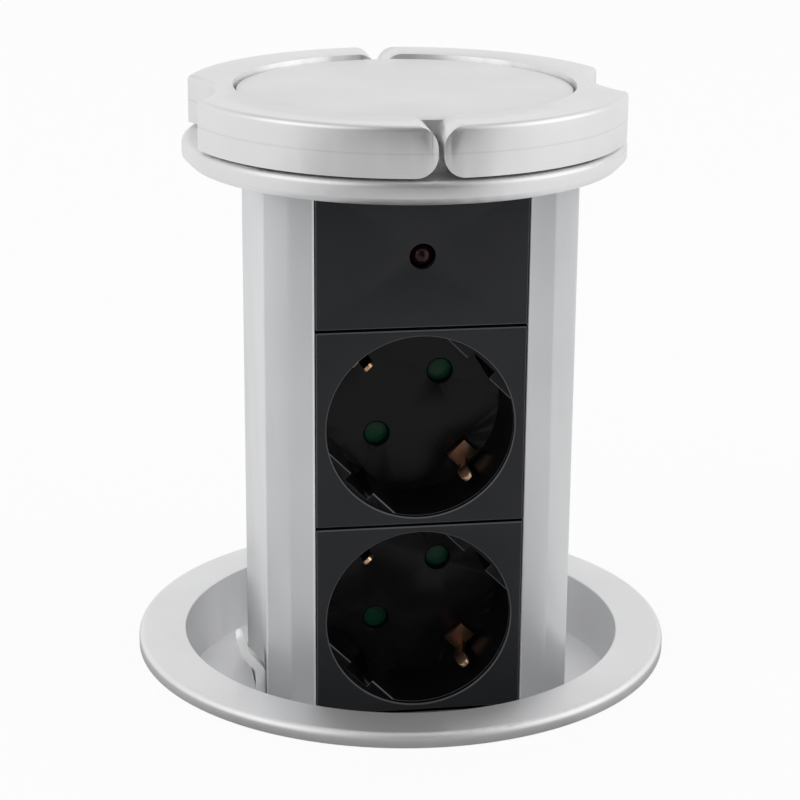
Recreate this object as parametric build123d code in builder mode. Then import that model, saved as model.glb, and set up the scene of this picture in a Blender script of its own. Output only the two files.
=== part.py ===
from build123d import *
import math
import os

# Pop-up socket tower for a worktop. All sizes are in millimetres.
# The origin is on the tower's axis, in the plane of the worktop's upper face.
# +Z is up, and the sockets face -Y. The tower stands fully raised.

# Clearances
slide_gap = 0.3
fit_gap = 0.1
pivot_gap = 0.05
screw_gap = 0.05
stop_gap = 0.2

# Trim flange and the round recess that the lid sinks into
flange_radius = 57.5
flange_thickness = 3.0
flange_round = 1.4
recess_radius = 47.3
recess_wall = 1.8
recess_depth = 14.6
floor_thickness = 2.5

# Gasket under the flange
gasket_gap = 0.4
gasket_width = 4.2
gasket_thickness = 0.8

# Threaded barrel below the worktop
barrel_wall = 2.2
barrel_length = 70.0
thread_pitch = 3.0
thread_depth = 0.8
thread_start = 12.0

# Clamp ring and its washer
worktop_thickness = 28.0
clamp_height = 12.0
clamp_wall = 4.6
clamp_lobe_radius = 3.0
clamp_lobes = 12
washer_thickness = 1.6
washer_width = 6.0

# Extruded tower profile
profile_half_width = 31.9
profile_half_depth = 25.6
profile_front_half_width = 27.0
profile_facet_drop = 1.5
profile_wall = 2.2
window_half_width = 21.8
port_x = 26.5
port_y = 17.0
port_half = 2.6
tower_height = 107.2

# Front modules
module_pitch = 42.2
lower_socket_bottom = -7.2
seam = 0.6
face_inset = 0.2
module_edge = 0.3
wing_half_width = 26.4
box_half_width = 23.7
box_wall = 1.5
side_clearance = 0.2

# Plug well, pin holes and guide lands, as on a standard earthed socket
well_radius = 19.46
well_depth = 17.5
well_wall = 1.3
well_floor = 2.0
pin_offset = 9.5
pin_hole_radius = 2.55
pin_mouth = 0.3
land_distance = 16.8
land_slot = 6.5
land_recess = 1.3
land_slot_wall = 0.8

# Shutter, contact base, contacts and earth strap
shutter_thickness = 2.0
shutter_lobe_radius = 3.8
shutter_hub_radius = 3.0
shutter_pin_radius = 1.6
base_radius = 13.8
base_length = 17.0
base_screw_offset = 10.8
contact_outer_radius = 3.2
contact_inner_radius = 2.35
contact_slit = 1.0
contact_tail = 2.4
strap_thickness = 0.8
strap_width = 4.9
strap_floor_radius = 14.4
strap_plate_radius = 18.4
strap_plate_lift = 0.7
finger_width = 2.4
finger_knee_radius = 14.8
finger_knee_depth = 6.4
finger_tip_radius = 15.8
finger_tip_depth = 3.2
spring_wire_radius = 0.25
spring_coil_radius = 2.7
spring_pitch = 0.8
spring_turns = 2.5

# Busbars and their carrier
busbar_width = 5.0
busbar_thickness = 1.0
busbar_offset = 8.0
busbar_air = 1.7
carrier_thickness = 2.0
carrier_half_width = 14.5

# Indicator lamp and its board
lamp_radius = 2.35
lamp_collar_radius = 3.4
lamp_hole_radius = 2.7
lamp_collar_thickness = 1.0
lamp_stem = 3.0
board_thickness = 1.6
board_half_width = 16.0
board_half_height = 9.5
board_post_x = 12.5
board_post_z = 6.5
board_post_radius = 2.0
board_depth = 8.0
varistor_radius = 5.0
varistor_thickness = 3.2

# Lid plate, grip ring and centre cap
lid_radius = 46.0
lid_plate_thickness = 4.8
lid_plate_chamfer = 1.5
lid_plate_round = 1.3
lid_screw_hold = 10.0
grip_height = 10.6
grip_inner_radius = 35.4
grip_collar = 2.9
grip_collar_height = 5.0
grip_round = 1.1
grip_shadow = 0.6
grip_shadow_width = 1.3
notch_gap = 1.1
notch_round = 4.3
scallop_radius = 26.3
scallop_depth = 6.6
cap_gap = 0.8
cap_drop = 0.5
cap_bevel_width = 2.8
cap_bevel_drop = 0.5
cap_wall = 1.6

# Guide frame below the recess floor
guide_height = 10.0
guide_screw_offset = 31.1
rim_clearance = 2.5

# Foot of the tower, its cup and the cable gland
foot_rim = 5.0
foot_tab = 4.0
cup_radius = 24.0
cup_wall = 2.0
cup_height = 16.6
cup_lip_thickness = 2.0
cup_ear_radius = 3.6
foot_opening_radius = 18.0
rim_lead = 1.0
tab_thickness = 1.6
gland_bore_radius = 4.2
gland_thread_radius = 6.0
gland_hex_radius = 9.0
gland_flange = 3.0
gland_thread_length = 8.0
gland_nut_height = 3.0
gland_cap_height = 10.0
gland_stem_length = 5.0
gland_seal_length = 2.4
gland_cap_radius = 8.4

# Terminal block
terminal_half_width = 13.0
terminal_height = 11.0
terminal_depth = 9.0

# Thumb catch on the left side of the tower
catch_thickness = 1.8
catch_width = 4.0
catch_front = 21.4
catch_pin_radius = 0.6
catch_eye_radius = 1.5
catch_pivot_height = -19.0
catch_pin_length = 8.0
catch_lean = 3.0
catch_tip_height = 9.6
catch_knee_height = 5.9
catch_bend_height = 2.2
catch_knee_reach = 4.2
catch_tip_reach = 5.2
catch_shoulder_width = 6.4
catch_shoulder_height = 3.0
catch_shoulder_reach = 0.8

# Screws: shank radius and head radius of the sizes used
m3_radius = 1.5
m3_head = 2.7
m25_radius = 1.25
m25_head = 2.2
screw_head_height = 2.0

# Places that follow from the sizes above
recess_floor_z = flange_thickness - recess_depth
floor_under_z = recess_floor_z - floor_thickness
skirt_radius = recess_radius + recess_wall
barrel_inner_radius = skirt_radius + fit_gap
barrel_outer_radius = barrel_inner_radius + barrel_wall
guide_bottom_z = floor_under_z - guide_height
rim_top_z = guide_bottom_z - stop_gap
rim_bottom_z = rim_top_z - foot_rim
rim_radius = barrel_inner_radius - rim_clearance
guide_radius = barrel_inner_radius - slide_gap
thread_turns = int((barrel_length - thread_start - thread_pitch) / thread_pitch)
cup_bottom_z = rim_bottom_z - cup_height
cup_screw_circle = cup_radius + m25_head + 2 * fit_gap
inner_half_width = profile_half_width - profile_wall
inner_half_depth = profile_half_depth - profile_wall
face_y = -profile_half_depth + face_inset
strip_back_y = -inner_half_depth
wing_back_y = -port_y - port_half - fit_gap
well_floor_y = face_y + well_depth
floor_back_y = well_floor_y + well_floor
shutter_front_y = floor_back_y + stop_gap
base_front_y = shutter_front_y + shutter_thickness + slide_gap
base_back_y = base_front_y + base_length
strap_back_y = base_back_y + strap_thickness
bars_front_y = strap_back_y + busbar_air
bars_back_y = bars_front_y + busbar_thickness
upper_socket_bottom = lower_socket_bottom + module_pitch
indicator_bottom = upper_socket_bottom + module_pitch
lower_socket_z = lower_socket_bottom + module_pitch / 2
upper_socket_z = upper_socket_bottom + module_pitch / 2
indicator_z = (indicator_bottom + tower_height) / 2
lid_plate_top = tower_height + lid_plate_thickness
grip_top = lid_plate_top + grip_height
cap_radius = grip_inner_radius - cap_gap
gasket_inner_radius = barrel_outer_radius + gasket_gap
clamp_inner_radius = barrel_outer_radius + slide_gap
clamp_outer_radius = clamp_inner_radius + clamp_wall
clamp_top_z = -worktop_thickness - washer_thickness
pin_line = (math.sqrt(0.5), 0, math.sqrt(0.5))


def front_plane(y, z=0.0):
    """A plane square to Y, seen from the front: local x is +X and local y is +Z."""
    return Plane(origin=(0, y, z), x_dir=(1, 0, 0), z_dir=(0, -1, 0))


def pin_plane(y, z):
    """The same plane, turned so that local x runs along the line of the two pin holes."""
    return Plane(origin=(0, y, z), x_dir=pin_line, z_dir=(0, -1, 0))


def save(piece, name):
    """Labels a finished piece and writes it as one file."""
    piece.part.label = name
    export_step(piece.part, f"parts/{name}.step")


def profile_corners():
    """Outer corners of the tower's section, the same at the front and the back."""
    shoulder = profile_half_depth - profile_facet_drop
    right = [(profile_front_half_width, -profile_half_depth), (profile_half_width, -shoulder),
             (profile_half_width, shoulder), (profile_front_half_width, profile_half_depth)]
    return right + [(-x, y) for x, y in reversed(right)]


def profile_outline(clearance=0.0):
    """Sketch of the tower's outer section, grown by a clearance."""
    with BuildSketch() as outline:
        with BuildLine():
            Polyline(*profile_corners(), close=True)
        make_face()
        if clearance > 0:
            offset(amount=clearance, kind=Kind.INTERSECTION)
    return outline.sketch


def countersunk_screw(shank_radius, head_radius, length, plane):
    """A countersunk screw whose head is flush with the plane and whose shank runs against its normal."""
    with BuildPart(mode=Mode.PRIVATE) as screw:
        with BuildSketch(plane):
            Circle(head_radius)
        with BuildSketch(plane.offset(-(head_radius - shank_radius))):
            Circle(shank_radius)
        loft()
        with BuildSketch(plane):
            Circle(shank_radius)
        extrude(amount=-length)
        with BuildSketch(plane):
            Rectangle(head_radius * 1.3, head_radius * 0.25)
            Rectangle(head_radius * 0.25, head_radius * 1.3)
        extrude(amount=-(head_radius - shank_radius) * 0.7, mode=Mode.SUBTRACT)
    return screw.part


def cheese_head_screw(shank_radius, head_radius, length, plane):
    """A screw whose head stands on the plane and whose shank runs against its normal."""
    with BuildPart(mode=Mode.PRIVATE) as screw:
        with BuildSketch(plane):
            Circle(head_radius)
        extrude(amount=screw_head_height)
        with BuildSketch(plane):
            Circle(shank_radius)
        extrude(amount=-length)
        with BuildSketch(plane.offset(screw_head_height)):
            Rectangle(head_radius * 1.2, head_radius * 0.3)
            Rectangle(head_radius * 0.3, head_radius * 1.2)
        extrude(amount=-screw_head_height * 0.6, mode=Mode.SUBTRACT)
    return screw.part


def corner_points(x, y):
    """The four points that mirror one point about both axes."""
    return [(sx * x, sy * y) for sx in (-1, 1) for sy in (-1, 1)]


# Thumb catch places, left side of the tower

catch_middle_y = -catch_front + catch_width / 2
catch_pivot_x = -profile_half_width + profile_wall / 2
catch_straight_x = -profile_half_width - fit_gap - catch_thickness / 2
catch_tip_x = -profile_half_width - catch_tip_reach
catch_knee_x = -profile_half_width - catch_knee_reach
notch_reach_x = catch_tip_x - catch_thickness / 2 - 2 * slide_gap
shoulder_outer_x = catch_straight_x - catch_thickness / 2 - catch_shoulder_reach
ledge_x = catch_straight_x - catch_thickness / 2 - slide_gap


def catch_channel(wide_reach_x, bottom_z, height):
    """Room for the catch: a narrow slot for its tip and a wider one for its shoulders."""
    with BuildPart(mode=Mode.PRIVATE) as channel:
        inner_x = -profile_half_width + profile_wall
        for reach, width in ((notch_reach_x, catch_width), (wide_reach_x, catch_shoulder_width)):
            with BuildSketch(Plane.XY.offset(bottom_z)):
                with Locations(((reach + inner_x) / 2, catch_middle_y)):
                    Rectangle(inner_x - reach, width + 2 * slide_gap)
            extrude(amount=height)
    return channel.part


# Trim flange: rim, recess wall and recess floor in one casting
with BuildPart() as trim_flange:
    with BuildSketch(Plane.XZ) as section:
        with BuildLine():
            Polyline(
                (0, recess_floor_z), (recess_radius, recess_floor_z), (recess_radius, flange_thickness),
                (flange_radius, flange_thickness), (flange_radius, 0), (skirt_radius, 0),
                (skirt_radius, floor_under_z), (0, floor_under_z), close=True)
        make_face()
    revolve(axis=Axis.Z)
    rim_edges = trim_flange.edges().filter_by(GeomType.CIRCLE).filter_by(
        lambda e: abs(e.radius - flange_radius) < 0.01)
    fillet(rim_edges.sort_by(Axis.Z)[-1], radius=flange_round)
    mouth_edges = trim_flange.edges().filter_by(GeomType.CIRCLE).filter_by(
        lambda e: abs(e.radius - recess_radius) < 0.01)
    fillet(mouth_edges.sort_by(Axis.Z)[-1], radius=flange_round / 4)
    add(extrude(profile_outline(slide_gap).moved(Location((0, 0, floor_under_z - 1))),
                amount=floor_thickness + 2, mode=Mode.PRIVATE), mode=Mode.SUBTRACT)
    add(catch_channel(ledge_x, floor_under_z - 1, floor_thickness + 2), mode=Mode.SUBTRACT)
    with BuildSketch(Plane.XY):
        Circle(gasket_inner_radius + gasket_width)
        Circle(gasket_inner_radius, mode=Mode.SUBTRACT)
    extrude(amount=gasket_thickness, mode=Mode.SUBTRACT)
    with BuildSketch(Plane.XY.offset(floor_under_z)):
        with Locations(*corner_points(guide_screw_offset, guide_screw_offset)):
            Circle(m3_radius + screw_gap)
    extrude(amount=floor_thickness * 0.8, mode=Mode.SUBTRACT)
    with PolarLocations(0, 3, start_angle=90):
        with Locations(Location((skirt_radius, 0, recess_floor_z / 2), (0, 90, 0))):
            Hole(m25_radius + screw_gap, depth=recess_wall * 0.75)
save(trim_flange, "trim_flange")

# Rubber gasket in the flange's groove, level with the worktop
with BuildPart() as flange_gasket:
    with BuildSketch(Plane.XY):
        Circle(gasket_inner_radius + gasket_width)
        Circle(gasket_inner_radius, mode=Mode.SUBTRACT)
    extrude(amount=gasket_thickness)
save(flange_gasket, "flange_gasket")

# Barrel that passes through the worktop
with BuildPart() as barrel:
    with BuildSketch(Plane.XY.offset(-barrel_length)):
        Circle(barrel_outer_radius)
        Circle(barrel_inner_radius, mode=Mode.SUBTRACT)
    extrude(amount=barrel_length)
    lower_edges = barrel.faces().sort_by(Axis.Z)[0].edges()
    chamfer(lower_edges.sort_by(SortBy.RADIUS)[-1], length=barrel_wall / 3)
    with BuildSketch(Plane.XZ):
        with Locations(*[(barrel_outer_radius, -thread_start - turn * thread_pitch) for turn in range(thread_turns)]):
            Rectangle(2 * thread_depth, thread_pitch / 2)
    revolve(axis=Axis.Z, mode=Mode.SUBTRACT)
    with PolarLocations(0, 3, start_angle=90):
        with Locations(Location((barrel_outer_radius, 0, recess_floor_z / 2), (0, 90, 0))):
            CounterSinkHole(m25_radius + screw_gap, m25_head + screw_gap, depth=barrel_wall + 2)
save(barrel, "barrel")

# Three screws that hold the barrel to the recess wall
with BuildPart() as barrel_screws:
    for angle in (90, 210, 330):
        turned = Plane.XY.rotated((0, 0, angle))
        across = Plane(origin=turned.from_local_coords((barrel_outer_radius, 0, recess_floor_z / 2)),
                       x_dir=(0, 0, 1), z_dir=turned.x_dir)
        add(countersunk_screw(m25_radius, m25_head, barrel_wall + fit_gap + recess_wall * 0.7, across))
save(barrel_screws, "barrel_screws")

# Guide frame under the recess floor, which steers the tower
with BuildPart() as guide_frame:
    with BuildSketch(Plane.XY.offset(guide_bottom_z)):
        Circle(guide_radius)
        with Locations(*corner_points(guide_screw_offset, guide_screw_offset)):
            Circle(m3_radius + screw_gap, mode=Mode.SUBTRACT)
    extrude(amount=guide_height)
    with BuildSketch(Plane.XY.offset(guide_bottom_z)):
        with Locations(*corner_points(guide_screw_offset, guide_screw_offset)):
            Circle(m3_head + fit_gap)
    extrude(amount=screw_head_height + fit_gap, mode=Mode.SUBTRACT)
    add(extrude(profile_outline(slide_gap).moved(Location((0, 0, guide_bottom_z - 1))),
                amount=guide_height + 2, mode=Mode.PRIVATE), mode=Mode.SUBTRACT)
    add(catch_channel(shoulder_outer_x - 2 * slide_gap, guide_bottom_z - 1, guide_height + 2),
        mode=Mode.SUBTRACT)
save(guide_frame, "guide_frame")

# Screws that hold the guide frame to the recess floor
with BuildPart() as guide_screws:
    head_seat = guide_bottom_z + screw_head_height + fit_gap
    for x, y in corner_points(guide_screw_offset, guide_screw_offset):
        below = Plane(origin=(x, y, head_seat), x_dir=(1, 0, 0), z_dir=(0, 0, -1))
        add(cheese_head_screw(m3_radius, m3_head, guide_height + floor_thickness * 0.7 - screw_head_height,
                              below))
save(guide_screws, "guide_screws")

# Clamp ring: a lobed ring nut that draws the flange down on the worktop
with BuildPart() as clamp_ring:
    with BuildSketch(Plane.XY.offset(clamp_top_z - clamp_height)):
        Circle(clamp_outer_radius)
        with PolarLocations(clamp_outer_radius, clamp_lobes):
            Circle(clamp_lobe_radius)
        Circle(clamp_inner_radius, mode=Mode.SUBTRACT)
    extrude(amount=clamp_height)
    chamfer(clamp_ring.faces().sort_by(Axis.Z)[0].outer_wire().edges(), length=0.8)
save(clamp_ring, "clamp_ring")

# Washer between the clamp ring and the worktop
with BuildPart() as clamp_washer:
    with BuildSketch(Plane.XY.offset(clamp_top_z)):
        Circle(clamp_inner_radius + washer_width)
        Circle(clamp_inner_radius, mode=Mode.SUBTRACT)
    extrude(amount=washer_thickness)
save(clamp_washer, "clamp_washer")

# Tower profile: an aluminium extrusion, open at the front between two strips
with BuildPart() as tower_profile:
    with BuildSketch(Plane.XY.offset(rim_top_z)):
        add(profile_outline())
        offset(amount=-profile_wall, kind=Kind.INTERSECTION, mode=Mode.SUBTRACT)
        with Locations(*corner_points(port_x, port_y)):
            Rectangle(2 * port_half, 2 * port_half)
        for side in (-1, 1):
            for end in (-1, 1):
                with Locations((side * (port_x + inner_half_width) / 2, end * port_y)):
                    Rectangle(inner_half_width - port_x + 0.2, 2 * port_half)
        with Locations(*corner_points(port_x, port_y)):
            Circle(m3_radius + screw_gap, mode=Mode.SUBTRACT)
        with Locations((0, -profile_half_depth)):
            Rectangle(2 * window_half_width, 4 * profile_wall, mode=Mode.SUBTRACT)
    extrude(amount=tower_height - rim_top_z)
    with BuildSketch(Plane.XY.offset(catch_pivot_height - 2 * catch_eye_radius)):
        with Locations((-profile_half_width + catch_lean / 2, catch_middle_y)):
            Rectangle(catch_lean, catch_width + 2 * slide_gap)
    extrude(amount=catch_knee_height + 2 * catch_eye_radius - catch_pivot_height, mode=Mode.SUBTRACT)
    with BuildSketch(Plane.XY.offset(recess_floor_z - slide_gap)):
        with Locations((-profile_half_width + catch_lean / 2, catch_middle_y)):
            Rectangle(catch_lean, catch_shoulder_width + 2 * slide_gap)
    extrude(amount=catch_shoulder_height + 3 * slide_gap, mode=Mode.SUBTRACT)
    with BuildSketch(Plane.XZ.offset(-catch_middle_y)):
        with Locations((catch_pivot_x, catch_pivot_height)):
            Circle(catch_pin_radius + pivot_gap / 2)
    extrude(amount=catch_pin_length / 2, both=True, mode=Mode.SUBTRACT)
save(tower_profile, "tower_profile")


def module_block(bottom_z, top_z, back_y):
    """Common body of a front module: face, side wings and the walls of its open-backed box."""
    low = bottom_z + seam / 2
    high = top_z - seam / 2
    middle = (low + high) / 2
    height = high - low
    with BuildPart(mode=Mode.PRIVATE) as block:
        with BuildSketch(front_plane(face_y, middle)):
            Rectangle(2 * (window_half_width - side_clearance), height)
        extrude(amount=-(strip_back_y - face_y))
        chamfer(block.faces().sort_by(Axis.Y)[0].edges(), length=module_edge)
        with BuildSketch(front_plane(strip_back_y, middle)):
            Rectangle(2 * wing_half_width, height)
        extrude(amount=-(wing_back_y - strip_back_y))
        with BuildSketch(front_plane(wing_back_y, middle)):
            Rectangle(2 * box_half_width, height)
            Rectangle(2 * (box_half_width - box_wall), height - 2 * box_wall, mode=Mode.SUBTRACT)
        extrude(amount=-(back_y - wing_back_y))
    return block.part


def socket_front(bottom_z, centre_z):
    """Earthed socket: module body with a round well, guide lands, pin holes and earth slots."""
    with BuildPart() as front:
        add(module_block(bottom_z, bottom_z + module_pitch, floor_back_y))
        with BuildSketch(front_plane(strip_back_y, centre_z)):
            Circle(well_radius + well_wall)
        extrude(amount=-(floor_back_y - strip_back_y))
        with BuildSketch(front_plane(floor_back_y, centre_z)):
            with Locations((-base_screw_offset, 0), (base_screw_offset, 0)):
                Circle(m25_head)
        extrude(amount=-(base_front_y - floor_back_y))
        with BuildSketch(pin_plane(face_y, centre_z)):
            Circle(well_radius)
        extrude(amount=-land_recess, mode=Mode.SUBTRACT)
        with BuildSketch(pin_plane(face_y + land_recess, centre_z)):
            Circle(well_radius)
            with Locations((land_distance + well_radius / 2, 0), (-land_distance - well_radius / 2, 0)):
                Rectangle(well_radius, 2 * well_radius, mode=Mode.SUBTRACT)
            with Locations((land_distance, 0), (-land_distance, 0)):
                Rectangle(2 * (well_radius - land_distance - land_slot_wall), land_slot)
        extrude(amount=-(well_depth - land_recess), mode=Mode.SUBTRACT)
        rim = front.edges().filter_by(GeomType.CIRCLE).filter_by(
            lambda e: abs(e.radius - well_radius) < 0.01 and abs(e.center().Y - face_y) < 0.01)
        chamfer(rim, length=module_edge)
        land_edges = front.edges().filter_by(GeomType.LINE).filter_by(
            lambda e: abs((e @ 0).Y - face_y - land_recess) < 0.01 and abs((e @ 1).Y - face_y - land_recess) < 0.01
            and abs(abs(e.center().X * pin_line[0] + (e.center().Z - centre_z) * pin_line[2]) - land_distance) < 0.01)
        chamfer(land_edges, length=module_edge)
        with BuildSketch(pin_plane(well_floor_y, centre_z)):
            with Locations((-pin_offset, 0), (pin_offset, 0)):
                Circle(pin_hole_radius)
            for side in (-1, 1):
                with Locations((0, side * (strap_floor_radius + strap_thickness / 2))):
                    Rectangle(strap_width + 2 * slide_gap, strap_thickness + 2 * slide_gap)
        extrude(amount=-well_floor, mode=Mode.SUBTRACT)
        mouths = front.edges().filter_by(GeomType.CIRCLE).filter_by(
            lambda e: abs(e.radius - pin_hole_radius) < 0.01 and abs(e.center().Y - well_floor_y) < 0.01)
        chamfer(mouths, length=pin_mouth)
        with BuildSketch(front_plane(base_front_y, centre_z)):
            with Locations((-base_screw_offset, 0), (base_screw_offset, 0)):
                Circle(m25_radius * 0.9)
        extrude(amount=base_front_y - floor_back_y + well_floor * 0.6, mode=Mode.SUBTRACT)
    return front


def shutter(centre_z):
    """Child-safety shutter: a hub with two lobes that close the pin holes."""
    with BuildPart() as blade:
        with BuildSketch(pin_plane(shutter_front_y, centre_z)):
            with Locations((-pin_offset, 0), (pin_offset, 0)):
                Circle(shutter_lobe_radius)
            Rectangle(2 * pin_offset, shutter_hub_radius * 1.4)
            Circle(shutter_hub_radius)
            Circle(shutter_pin_radius + pivot_gap, mode=Mode.SUBTRACT)
        extrude(amount=-shutter_thickness)
    return blade


def shutter_spring(centre_z):
    """Return spring of the shutter, wound round its pivot."""
    coil_height = spring_turns * spring_pitch
    seat = base_front_y + stop_gap + spring_wire_radius
    with BuildPart() as spring:
        with BuildLine() as coil:
            Helix(pitch=spring_pitch, height=coil_height, radius=spring_coil_radius,
                  center=(0, seat, centre_z), direction=(0, 1, 0))
        with BuildSketch(Plane(origin=coil.line @ 0, z_dir=coil.line % 0)):
            Circle(spring_wire_radius)
        sweep(path=coil.line)
    return spring


def contact_base(centre_z):
    """Round insulator that carries the pin contacts and the shutter's pivot."""
    spring_room = spring_turns * spring_pitch + 2 * spring_wire_radius + 2 * stop_gap
    with BuildPart() as base:
        with BuildSketch(front_plane(base_front_y, centre_z)):
            Circle(base_radius)
        extrude(amount=-base_length)
        with BuildSketch(pin_plane(base_front_y, centre_z)):
            Circle(spring_coil_radius + 3 * spring_wire_radius + fit_gap)
            with Locations((-pin_offset, 0), (pin_offset, 0)):
                Circle(contact_outer_radius + slide_gap)
        extrude(amount=-spring_room, mode=Mode.SUBTRACT)
        with BuildSketch(pin_plane(base_front_y, centre_z)):
            with Locations((-pin_offset, 0), (pin_offset, 0)):
                Circle(contact_outer_radius + slide_gap)
        extrude(amount=-(base_length - 1), mode=Mode.SUBTRACT)
        with BuildSketch(front_plane(base_back_y, centre_z)):
            with Locations(*pin_points()):
                Rectangle(contact_tail + 2 * fit_gap, contact_tail + 2 * fit_gap)
        extrude(amount=2, both=True, mode=Mode.SUBTRACT)
        with BuildSketch(front_plane(base_back_y, centre_z)):
            with Locations((-base_screw_offset, 0), (base_screw_offset, 0)):
                Circle(m25_radius + screw_gap)
        extrude(amount=base_length, both=True, mode=Mode.SUBTRACT)
        with BuildSketch(front_plane(base_back_y, centre_z)):
            with Locations((-base_screw_offset, 0), (base_screw_offset, 0)):
                Circle(m25_head + fit_gap)
        extrude(amount=screw_head_height + fit_gap, mode=Mode.SUBTRACT)
        with BuildSketch(front_plane(base_front_y + spring_room, centre_z)):
            Circle(shutter_pin_radius)
        extrude(amount=spring_room + base_front_y - floor_back_y)
    return base


def pin_points():
    """The two pin holes seen from the front, as offsets from the socket's centre."""
    reach = pin_offset * math.sqrt(0.5)
    return [(-reach, -reach), (reach, reach)]


def pin_contacts(centre_z):
    """Line and neutral contacts: split tubes with a tail that reaches the busbars."""
    with BuildPart() as contacts:
        back_of_tube = base_back_y - 1 - stop_gap
        front_of_tube = base_front_y + 1
        with BuildSketch(pin_plane(front_of_tube, centre_z)):
            with Locations((-pin_offset, 0), (pin_offset, 0)):
                Circle(contact_outer_radius)
                Circle(contact_inner_radius, mode=Mode.SUBTRACT)
                with Locations((0, contact_outer_radius)):
                    Rectangle(contact_slit, 2 * contact_outer_radius, mode=Mode.SUBTRACT)
        extrude(amount=-(back_of_tube - front_of_tube))
        with BuildSketch(pin_plane(back_of_tube - busbar_thickness, centre_z)):
            with Locations((-pin_offset, 0), (pin_offset, 0)):
                Circle(contact_outer_radius)
        extrude(amount=-busbar_thickness)
        with BuildSketch(front_plane(back_of_tube - busbar_thickness / 2, centre_z)):
            with Locations(*pin_points()):
                Rectangle(contact_tail, contact_tail)
        extrude(amount=-(bars_front_y - back_of_tube + busbar_thickness / 2))
    return contacts


def earth_strap(centre_z):
    """Earth strap: a bar behind the base with two arms that end as spring fingers in the well."""
    along = Plane(origin=(0, 0, centre_z), x_dir=(-pin_line[2], 0, pin_line[0]), z_dir=pin_line)
    sign = 1 if along.y_dir.Y > 0 else -1
    plate_back_y = well_floor_y - strap_plate_lift
    plate_front_y = plate_back_y - strap_thickness
    tip_y = face_y + finger_tip_depth
    knee_y = face_y + finger_knee_depth
    root_y = plate_front_y + strap_thickness / 2
    finger_offset = (strap_width - finger_width) / 2
    with BuildPart() as strap:
        with BuildSketch(front_plane(base_back_y, centre_z)):
            with Locations(Location((0, 0), 135)):
                Rectangle(2 * (strap_floor_radius + strap_thickness), strap_width)
        extrude(amount=-strap_thickness)
        for side in (-1, 1):
            with BuildSketch(along):
                with BuildLine():
                    Polyline(
                        (side * strap_floor_radius, sign * base_back_y),
                        (side * strap_floor_radius, sign * plate_front_y),
                        (side * strap_plate_radius, sign * plate_front_y),
                        (side * strap_plate_radius, sign * plate_back_y),
                        (side * (strap_floor_radius + strap_thickness), sign * plate_back_y),
                        (side * (strap_floor_radius + strap_thickness), sign * strap_back_y),
                        (side * strap_floor_radius, sign * strap_back_y), close=True)
                make_face()
            extrude(amount=strap_width / 2, both=True)
            with BuildSketch(along.offset(side * finger_offset)):
                with BuildLine():
                    Polyline(
                        (side * (strap_plate_radius - strap_thickness), sign * root_y),
                        (side * finger_knee_radius, sign * knee_y),
                        (side * finger_tip_radius, sign * tip_y),
                        (side * (finger_tip_radius + strap_thickness), sign * tip_y),
                        (side * (finger_knee_radius + strap_thickness), sign * knee_y),
                        (side * strap_plate_radius, sign * root_y), close=True)
                make_face()
            extrude(amount=finger_width / 2, both=True)
        tip_edges = strap.edges().filter_by(
            lambda e: abs(e.center().Y - tip_y) < 0.01 and abs(e.length - strap_thickness) < 0.01)
        fillet(tip_edges, radius=finger_width * 0.45)
    return strap


for place, module_bottom, middle_z in (("lower", lower_socket_bottom, lower_socket_z),
                                       ("upper", upper_socket_bottom, upper_socket_z)):
    save(socket_front(module_bottom, middle_z), f"socket_{place}")
    save(shutter(middle_z), f"shutter_{place}")
    save(shutter_spring(middle_z), f"shutter_spring_{place}")
    save(contact_base(middle_z), f"contact_base_{place}")
    save(pin_contacts(middle_z), f"pin_contacts_{place}")
    save(earth_strap(middle_z), f"earth_strap_{place}")

# Screws that hold both contact bases to their sockets
with BuildPart() as contact_base_screws:
    seat_y = base_back_y - screw_head_height - fit_gap
    for middle_z in (lower_socket_z, upper_socket_z):
        for x in (-base_screw_offset, base_screw_offset):
            behind = Plane(origin=(x, seat_y, middle_z), x_dir=(1, 0, 0), z_dir=(0, 1, 0))
            add(cheese_head_screw(m25_radius * 0.85, m25_head, seat_y - floor_back_y, behind))
save(contact_base_screws, "contact_base_screws")

# Indicator panel above the sockets
with BuildPart() as indicator_panel:
    add(module_block(indicator_bottom, tower_height, wing_back_y + board_depth))
    with BuildSketch(front_plane(wing_back_y, indicator_z)):
        with Locations(*corner_points(board_post_x, board_post_z)):
            Circle(board_post_radius)
    extrude(amount=-board_depth)
    with BuildSketch(front_plane(face_y, indicator_z)):
        Circle(lamp_hole_radius)
    extrude(amount=-(wing_back_y - face_y), mode=Mode.SUBTRACT)
    with BuildSketch(front_plane(wing_back_y + board_depth, indicator_z)):
        with Locations(*corner_points(board_post_x, board_post_z)):
            Circle(m25_radius * 0.8)
    extrude(amount=board_depth * 0.7, mode=Mode.SUBTRACT)
save(indicator_panel, "indicator_panel")

# Indicator lamp: a domed red lens with a collar behind the panel
with BuildPart() as indicator_lamp:
    lamp_front_y = face_y + face_inset
    with BuildSketch(Plane(origin=(0, 0, indicator_z), x_dir=(1, 0, 0), z_dir=(0, 0, 1))):
        with BuildLine():
            shoulder_y = lamp_front_y + lamp_radius
            top = (0, lamp_front_y)
            ThreePointArc(top, (lamp_radius * math.sqrt(0.5), shoulder_y - lamp_radius * math.sqrt(0.5)),
                          (lamp_radius, shoulder_y))
            Polyline((lamp_radius, shoulder_y), (lamp_radius, wing_back_y),
                     (lamp_collar_radius, wing_back_y), (lamp_collar_radius, wing_back_y + lamp_collar_thickness),
                     (lamp_radius, wing_back_y + lamp_collar_thickness), (lamp_radius, wing_back_y + lamp_stem),
                     (0, wing_back_y + lamp_stem), top)
        make_face()
    revolve(axis=Axis(origin=(0, 0, indicator_z), direction=(0, 1, 0)))
save(indicator_lamp, "indicator_lamp")

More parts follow.
